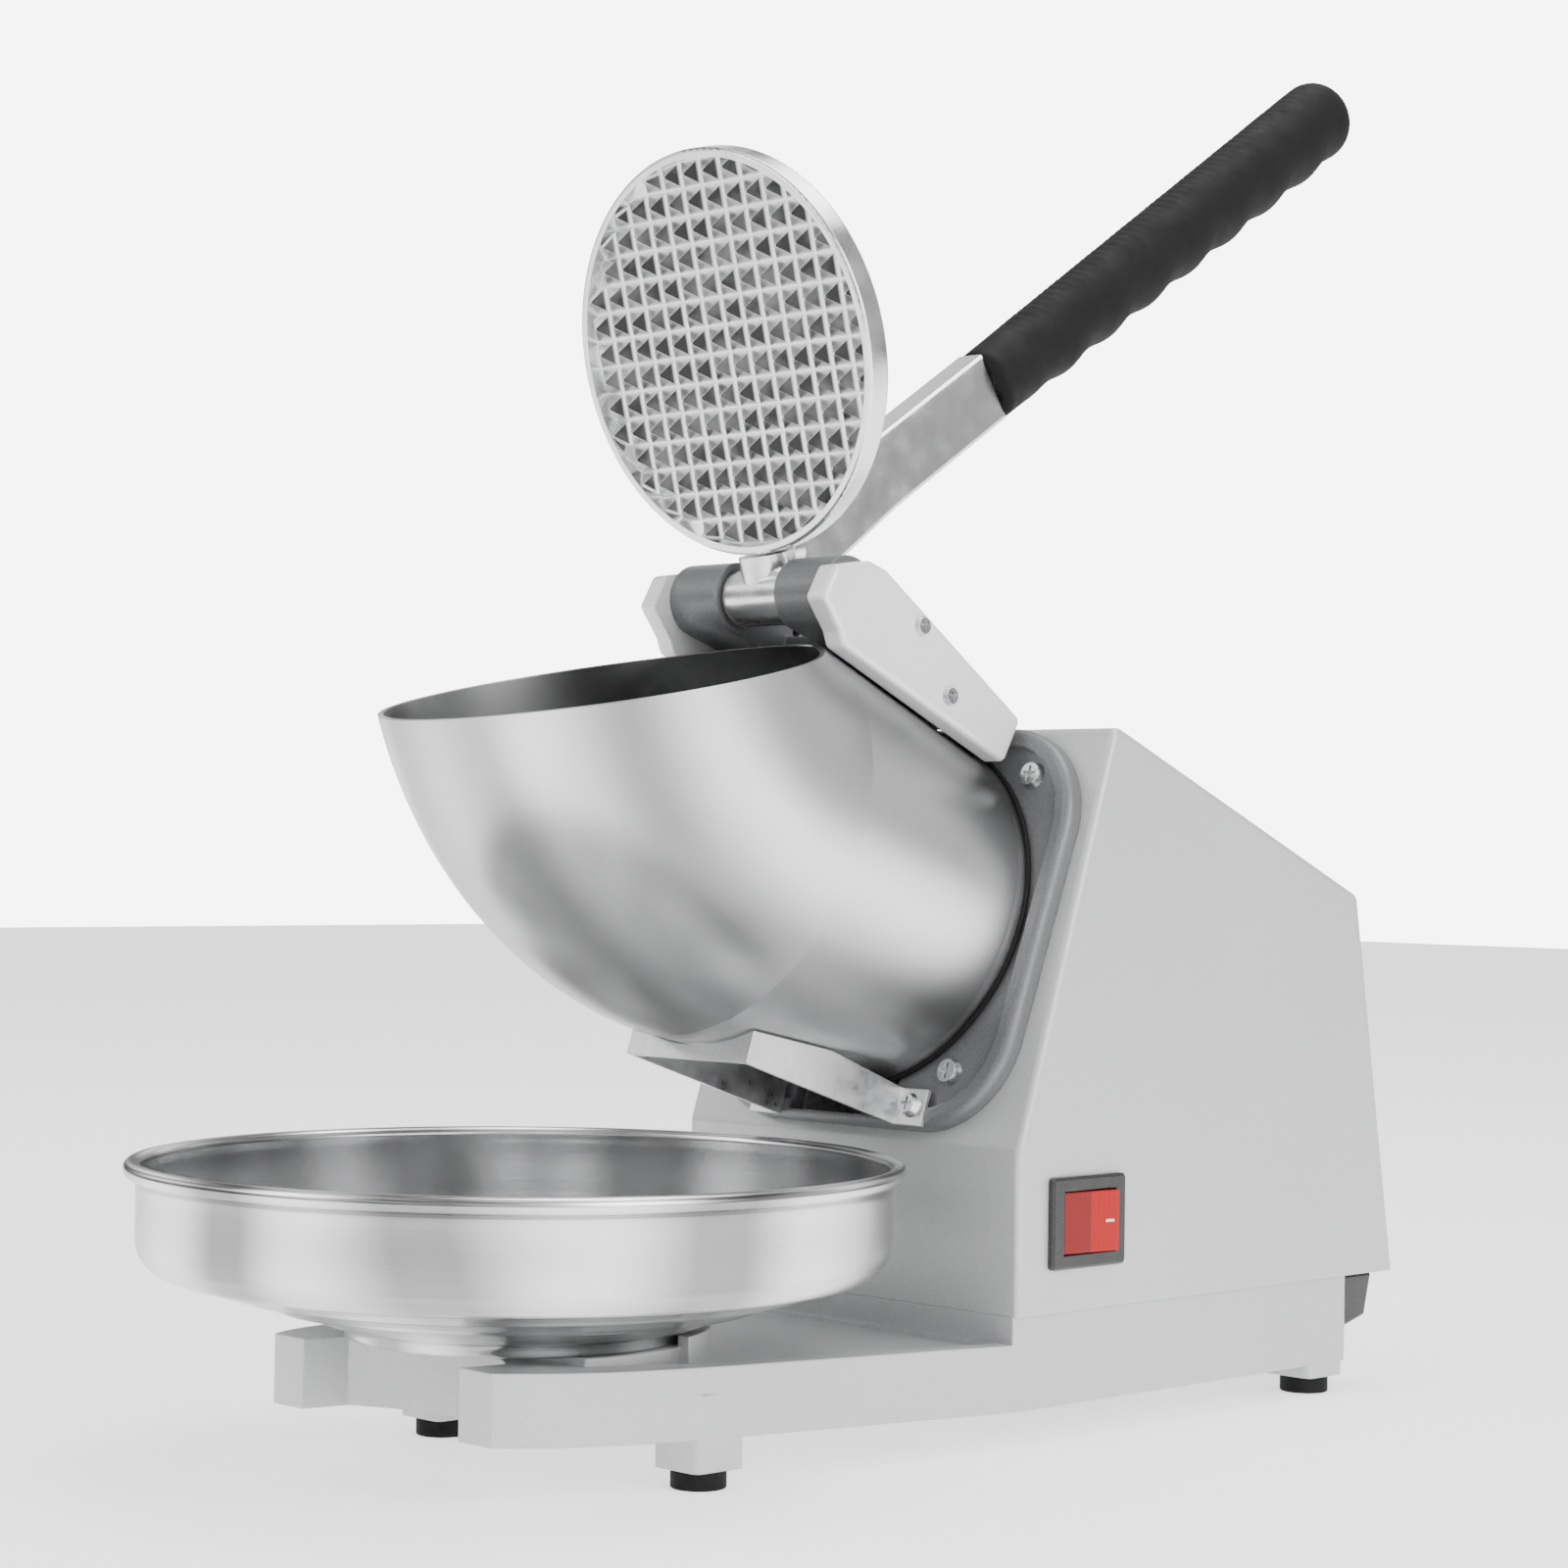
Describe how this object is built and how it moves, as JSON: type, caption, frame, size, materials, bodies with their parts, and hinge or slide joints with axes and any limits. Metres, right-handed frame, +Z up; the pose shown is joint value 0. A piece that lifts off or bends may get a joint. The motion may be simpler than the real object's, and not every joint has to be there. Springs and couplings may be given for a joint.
{
  "type": "shaved ice machine",
  "caption": "Electric ice shaver with a painted case, bent steel chute, hinged pusher with a long rear grip, cutter on the motor shaft, rocker switch and a catch bowl on a forked base.",
  "frame": {"origin": "centre of the bounding box at table height, with the pusher open", "axes": "+X to the operator's right, the side with the switch; +Y to the rear, where the grip points; +Z up"},
  "size_m": [0.18, 0.3996, 0.3701],
  "materials": {
    "bearing_steel": "ground",
    "black_plastic": "satin",
    "blade_steel": "ground",
    "bowl_steel": "spun and polished",
    "capacitor_can": "drawn",
    "cast_base": "satin metallic paint",
    "chute_steel": "polished",
    "copper": "enamelled wire",
    "cover_paint": "satin metallic paint",
    "cutter_alloy": "machined",
    "dark_casting": "satin dark grey paint",
    "fasteners": "bright plating",
    "foot_rubber": "matte",
    "grip_rubber": "matte",
    "guard_steel": "satin",
    "housing_alloy": "as cast",
    "laminations": "varnished",
    "motor_paint": "satin",
    "pusher_alloy": "polished casting",
    "red_plastic": "gloss",
    "shaft_steel": "ground",
    "side_plates": "smooth pale silver",
    "white_plastic": "moulded",
    "zinc_sheet": "dull zinc"
  },
  "bodies": {
    "machine": {"base_casting": "cast_base", "bottom_plate": "zinc_sheet", "bottom_plate_screws": "fasteners", "bracket_screws": "fasteners", "capacitor_clip": "zinc_sheet", "chute": "chute_steel", "chute_flange": "dark_casting", "cord_inlet": "black_plastic", "cover": "cover_paint", "cover_screws": "fasteners", "cutter_housing": "housing_alloy", "flange_screws": "fasteners", "foot_screws": "fasteners", "front_bearing": "bearing_steel", "guard_plate": "guard_steel", "guard_screws": "fasteners", "hinge_bracket": "dark_casting", "hinge_pin": "shaft_steel", "hinge_washers": "zinc_sheet", "motor_bolts": "fasteners", "motor_can": "motor_paint", "motor_cradle": "zinc_sheet", "motor_front_cap": "housing_alloy", "motor_rear_cap": "housing_alloy", "rear_bearing": "bearing_steel", "rubber_feet": "foot_rubber", "run_capacitor": "capacitor_can", "side_plate_left": "side_plates", "side_plate_right": "side_plates", "side_plate_screws": "fasteners", "stator_core": "laminations", "stator_windings": "copper", "switch_housing": "black_plastic", "terminal_block": "white_plastic"},
    "pusher": {"pusher_disc": "pusher_alloy", "pusher_arm": "pusher_alloy", "disc_screws": "fasteners", "grip": "grip_rubber"},
    "cutter": {"cutter_shaft": "shaft_steel", "rotor_core": "laminations", "cutter_disc": "cutter_alloy", "cutter_blades": "blade_steel", "blade_screws": "fasteners", "cutter_nut": "fasteners"},
    "rocker": {"switch_rocker": "red_plastic"},
    "bowl": {"bowl": "bowl_steel"}
  },
  "joints": [
    {"name": "pusher_hinge", "type": "hinge", "parent": "machine", "child": "pusher", "pos_m": [0, -0.03115, 0.20589], "axis": [1, 0, 0], "range_deg": [0, 143]},
    {"name": "cutter_spin", "type": "hinge", "parent": "machine", "child": "cutter", "pos_m": [0, 0.01643, 0.12616], "axis": [0, -0.9505, 0.3107], "continuous": true},
    {"name": "switch_rock", "type": "hinge", "parent": "machine", "child": "rocker", "pos_m": [0.0583, 0.023, 0.053], "axis": [0, 0, 1], "range_deg": [0, 12]},
    {"name": "bowl_lift", "type": "slide", "parent": "machine", "child": "bowl", "axis": [0, -0.9659, 0.2588], "range_m": [0, 0.15]}
  ]
}
